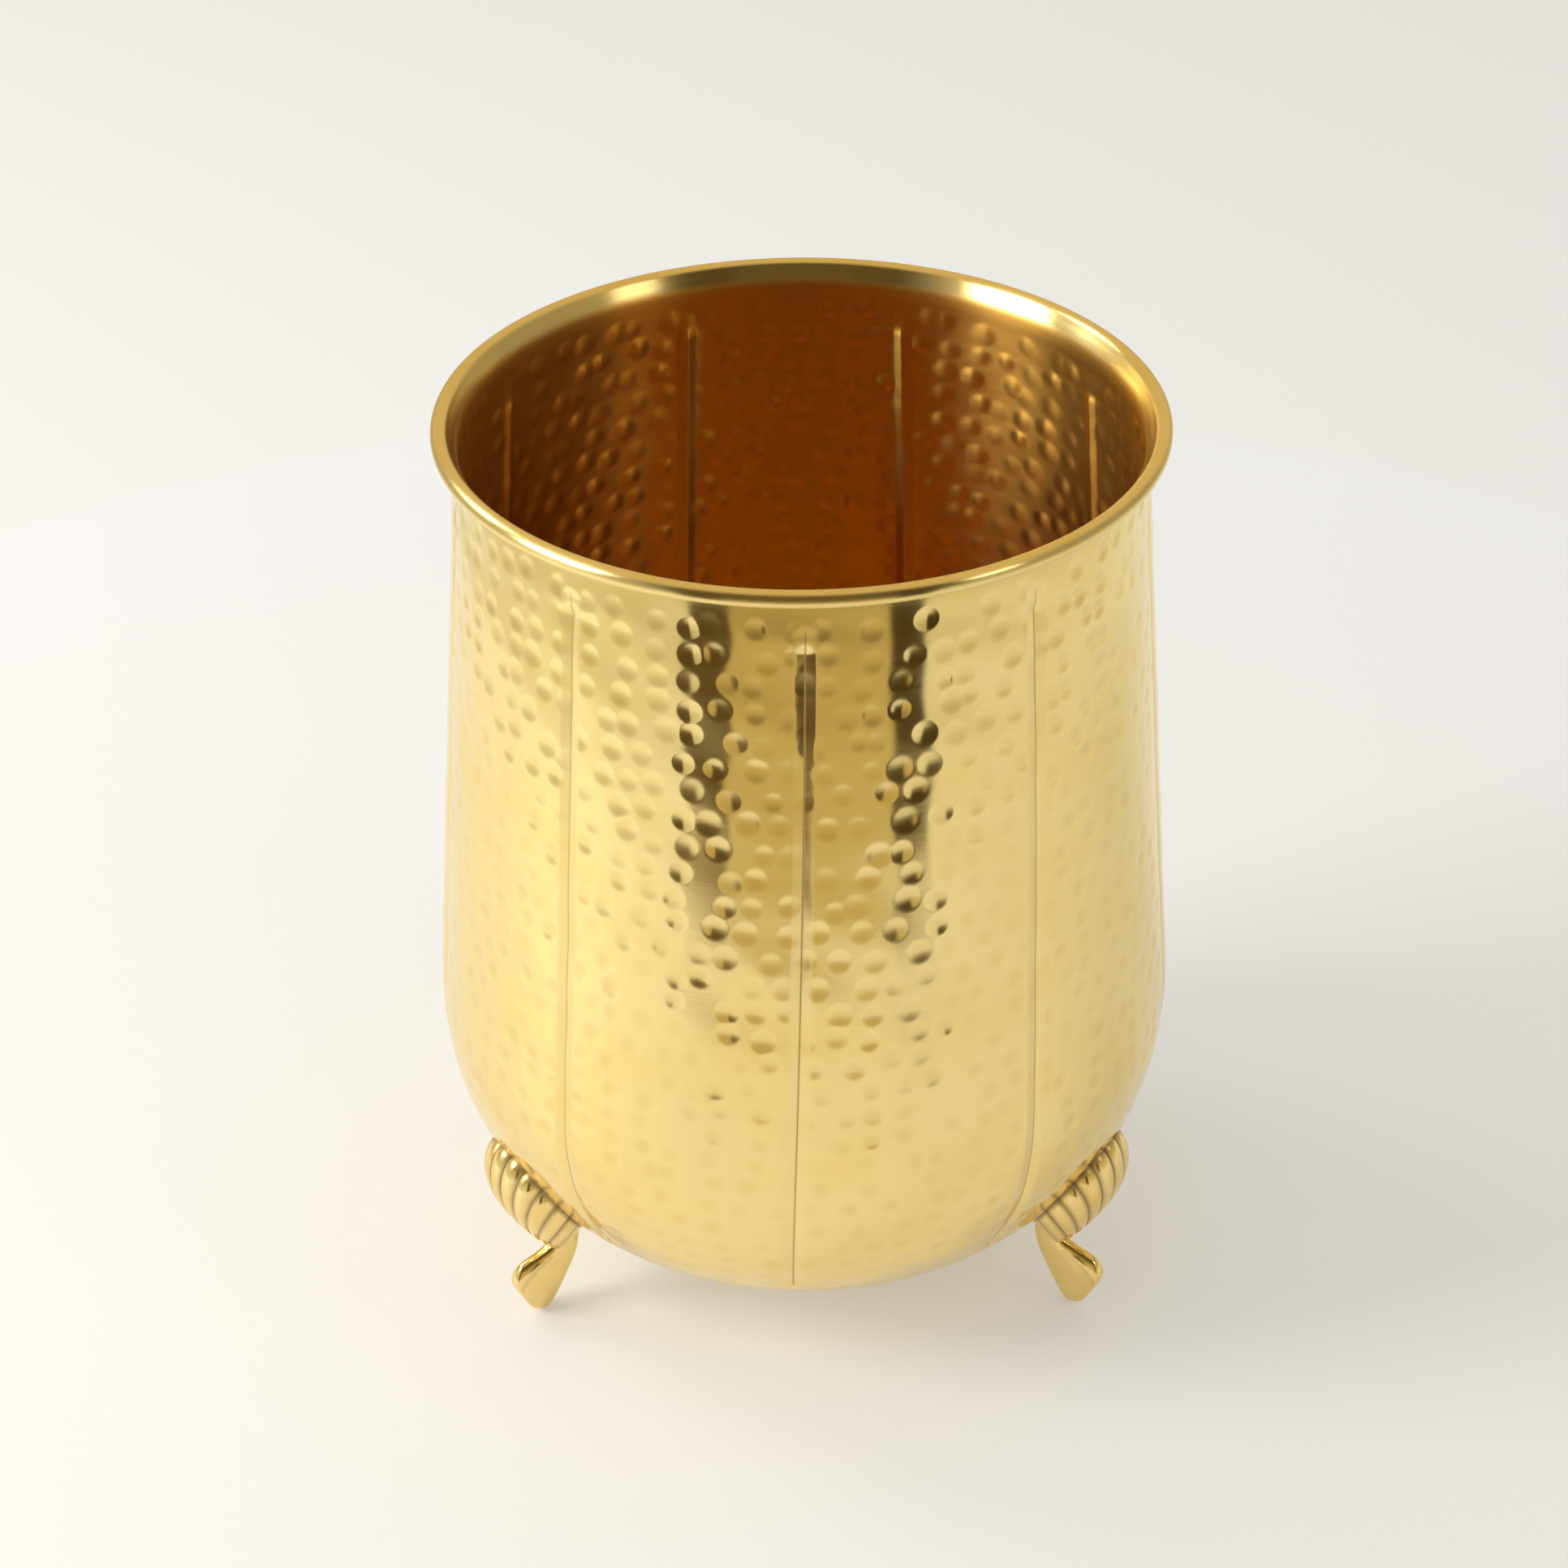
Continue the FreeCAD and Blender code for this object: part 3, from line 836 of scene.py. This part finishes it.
castBrass = {
    "colour": (0.92, 0.70, 0.29, 1),
    "warm": (0.88, 0.61, 0.19, 1),
    # painted shade in the flute valleys, along the lip, under the shell and along the leg's turn
    "paintedShade": (0.05, 0.03, 0.012, 1),
    "grain": ((900, 900, 900), 3.0, 0.6),       # noise: scales, detail and roughness
    "clouds": ((90, 90, 90), 4.0, 0.6),
    "cloudsSpan": (0.4, 0.8),
    "shadingLeast": 0.6,                    # how much of a recess takes painted shade, and what clouds add to it
    "shadingClouds": 0.6,
    "roughness": 0.10,
    "cloudsRough": 0.08,
    "shadingRough": 0.4,
    "shadingDull": 0.55,                    # metallic lost under the painted shade
    "cloudsHigh": 2,
    "bumpStrength": 0.15,
    "bumpHeight": 0.00006,
}


# Polished casting with painted shade in its recesses, along the shell's lip and underside and along the
# leg's turn, broken up by clouds of noise.
def castBrassMaterial():
    look = castBrass
    material, shade = newMaterial("castBrass")
    grain = stretchedNoise(shade, *look["grain"])
    clouds = stretchedNoise(shade, *look["clouds"])
    # painted shade in the recesses, at the lip, under the shell and along the leg's turn
    paintedShading = (fieldOf(shade, "recess") * (clouds * look["shadingClouds"] + look["shadingLeast"])).clipped()
    tone = clouds.between(*look["cloudsSpan"]).mixed(look["colour"], look["warm"])
    tone = paintedShading.mixed(tone, look["paintedShade"])
    rough = look["roughness"] + clouds * look["cloudsRough"] + paintedShading * look["shadingRough"]
    metal = 1 - paintedShading * look["shadingDull"]
    bump = shade.make("Bump", {}, {
        "Strength": look["bumpStrength"], "Distance": look["bumpHeight"],
        "Height": grain + clouds * look["cloudsHigh"],
    })
    finishMaterial(shade, {"Base Color": tone, "Metallic": metal, "Roughness": rough, "Normal": bump})
    return material


cadFinish = {
    "steelWire": {
        "colour": (0.50, 0.50, 0.51, 1), "worn": (0.33, 0.32, 0.31, 1), "rough": 0.32, "metal": 1.0,
    },
    "screwBrass": {
        "colour": (0.78, 0.62, 0.32, 1), "worn": (0.46, 0.33, 0.15, 1), "rough": 0.28, "metal": 1.0,
    },
    "sealRubber": {
        "colour": (0.022, 0.022, 0.022, 1), "worn": (0.05, 0.05, 0.048, 1), "rough": 0.72, "metal": 0.0,
    },
}

cadSurface = {
    "clouds": ((260, 260, 260), 4.0, 0.6),      # noise: scales, detail and roughness
    "grain": ((2400, 2400, 2400), 2.0, 0.5),
    "cloudsSpan": (0.4, 0.75),
    "cloudsRough": 0.12,
    "bumpStrength": 0.25,
    "bumpHeight": 0.00005,
}


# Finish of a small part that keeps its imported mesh: two tones in soft clouds, with a fine grain.
def cadMaterial(name):
    look = {**cadSurface, **cadFinish[name]}
    material, shade = newMaterial(name)
    clouds = stretchedNoise(shade, *look["clouds"])
    grain = stretchedNoise(shade, *look["grain"])
    tone = clouds.between(*look["cloudsSpan"]).mixed(look["colour"], look["worn"])
    rough = look["rough"] + clouds * look["cloudsRough"]
    bump = shade.make("Bump", {}, {
        "Strength": look["bumpStrength"], "Distance": look["bumpHeight"], "Height": grain,
    })
    finishMaterial(shade, {
        "Base Color": tone, "Metallic": look["metal"], "Roughness": rough, "Normal": bump,
    })
    return material


# Gives the wire, screws, washers and seals their finishes, by the first word of the node's name.
def dressCadNodes():
    kinds = {"rim": "steelWire", "screw": "screwBrass", "washer": "screwBrass", "seal": "sealRubber"}
    finishes = {name: cadMaterial(name) for name in cadFinish}
    for node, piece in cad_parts.items():
        finish = kinds.get(node.split("_")[0])
        if finish:
            piece.data.materials.clear()
            piece.data.materials.append(finishes[finish])


floor = {
    "half": 8.0,
    "colour": (0.60, 0.595, 0.58, 1),
    # painted shade: the floor darker far from the pot, for the lamps' falloff
    "far": (0.50, 0.495, 0.485, 1),
    # painted light: an even glow that lifts the shade under the pot
    "glow": (0.26, 0.255, 0.245, 1),
    "glowStrength": 1.0,
    "rough": 0.6,
    "farSpan": (0.3, 4.0),    # from the pot's axis
}


# A pale square at z = 0, painted a little darker with distance as painted shade for the lamps' falloff,
# that glows a little: painted light that lifts the shade under the pot.
def makeFloor():
    half = floor["half"]
    corners = [(-half, -half, 0), (half, -half, 0), (half, half, 0), (-half, half, 0)]
    material, shade = newMaterial("paleFloor")
    where = shade.make("TexCoord", {}, {}, "Object")
    distance = shade.make("VectorMath", {"operation": "LENGTH"}, {"Vector": where}, "Value")
    tone = distance.between(*floor["farSpan"]).mixed(floor["colour"], floor["far"])
    finishMaterial(shade, {
        "Base Color": tone, "Roughness": floor["rough"],
        "Emission Color": floor["glow"], "Emission Strength": floor["glowStrength"],
    })
    piece = meshPiece("floor", corners, [(0, 1, 2, 3)], [False], {}, material)


# Something upright round the pot that only its reflections see, coloured by height over its top.
def mirrorOnly(name, corners, faces, top, stops):
    material, shade = newMaterial(name)
    ramp = [(height / top, (*colour, 1)) for height, colour in stops]
    share = heightOf(shade) * (1 / top)
    colour = shade.make("ValToRGB", {"stops": ramp}, {"Fac": share})
    glow = shade.make("Emission", {}, {"Color": colour, "Strength": 1.0})
    shade.make("OutputMaterial", {}, {"Surface": glow})
    card = meshPiece(name, corners, faces, [False] * len(faces), {}, material)
    card.visible_camera = False
    card.visible_diffuse = False
    card.visible_shadow = False
    card.visible_transmission = False
    card.visible_volume_scatter = False


# An upright card in front of the pot: one quad between its edges.
def makeCard(name):
    left, right, stops = stageCards["cards"][name]
    y, bottom, top = stageCards["front"], stageCards["bottom"], stageCards["top"]
    corners = [(left, y, bottom), (right, y, bottom), (right, y, top), (left, y, top)]
    mirrorOnly(name, corners, [(0, 1, 2, 3)], top, stops)


# The ring: two circles of points, one quad for each side.
def makeRing():
    sides, bottom, top = stageRing["sides"], stageRing["bottom"], stageRing["top"]
    turn = np.linspace(0, 2 * math.pi, sides, endpoint=False)
    x, y = stageRing["radius"] * np.sin(turn), -stageRing["radius"] * np.cos(turn)
    corners = np.concatenate([np.stack([x, y, 0 * x + level], 1) for level in (bottom, top)])
    here = np.arange(sides)
    beside = (here + 1) % sides
    faces = np.stack([here, here + sides, beside + sides, beside], 1).tolist()
    mirrorOnly("stageRing", corners, faces, top, stageRing["stops"])


# The camera turned by heading, then tilt, then roll.
def makeCamera():
    lens = bpy.data.cameras.new("camera")
    lens.lens = camera["lens"]
    lens.sensor_width = camera["sensor"]
    lens.clip_end = camera["farthest"]
    eye = bpy.data.objects.new("camera", lens)
    heading = Euler((0, 0, math.radians(camera["heading"]))).to_matrix()
    tilt = Euler((math.radians(camera["tilt"]), 0, 0)).to_matrix()
    roll = Euler((0, 0, math.radians(camera["roll"]))).to_matrix()
    eye.matrix_world = (heading @ tilt @ roll).to_4x4()
    eye.location = camera["place"]
    bpy.context.scene.collection.objects.link(eye)
    bpy.context.scene.camera = eye


# A soft world that is brightest low down, a warmer and darker room that only mirrors see, and three lamps
# aimed at the pot.
def makeLights():
    world = bpy.data.worlds.new("softWorld")
    world.use_nodes = True
    world.node_tree.nodes.clear()
    shade = Shade(world.node_tree)
    where = shade.make("TexCoord", {}, {}, "Generated")
    across, along, rise = (shade.make("SeparateXYZ", {}, {"Vector": where}, axis) for axis in "XYZ")
    sky = rise.between(*light["skyFade"]).mixed(light["low"], light["high"])
    room = (along * -1).between(*light["backFade"]).mixed(light["behind"], light["front"])
    room = (across * -1).between(*light["leftFade"]).mixed(room, light["left"])
    room = across.between(*light["rightFade"]).mixed(room, light["right"])
    sky = shade.make("LightPath", {}, {}, "Is Glossy Ray").mixed(sky, room)
    glow = shade.make("Background", {}, {"Color": sky, "Strength": light["worldStrength"]})
    shade.make("OutputWorld", {}, {"Surface": glow})
    bpy.context.scene.world = world
    for name in ("key", "top", "fill"):
        lamp = bpy.data.lights.new(name + "Light", "AREA")
        lamp.size = light[name + "Size"]
        lamp.energy = light[name + "Power"]
        lamp.color = light["keyColour"]
        holder = bpy.data.objects.new(name + "Light", lamp)
        holder.location = light[name + "Place"]
        aim = Vector(light["keyAim"]) - Vector(light[name + "Place"])
        holder.rotation_euler = aim.to_track_quat("-Z", "Y").to_euler()
        bpy.context.scene.collection.objects.link(holder)


makeCamera()
makeLights()
makeFloor()
for name in stageCards["cards"]:
    makeCard(name)
makeRing()
bpy.context.scene.view_settings.view_transform = "Standard"
print("stage ready")

spun = spunBrassMaterial()
for index in range(vessel["panels"]):
    makePanel(index, spun)
makeBase(spun)
print("vessel made of", vessel["panels"], "panels and a base")

cast = castBrassMaterial()
for name, middle in footAngles.items():
    makeFoot(name, middle, cast)
print("three shell feet made")

dressCadNodes()
print("rim wire, screws, washers and seals dressed")
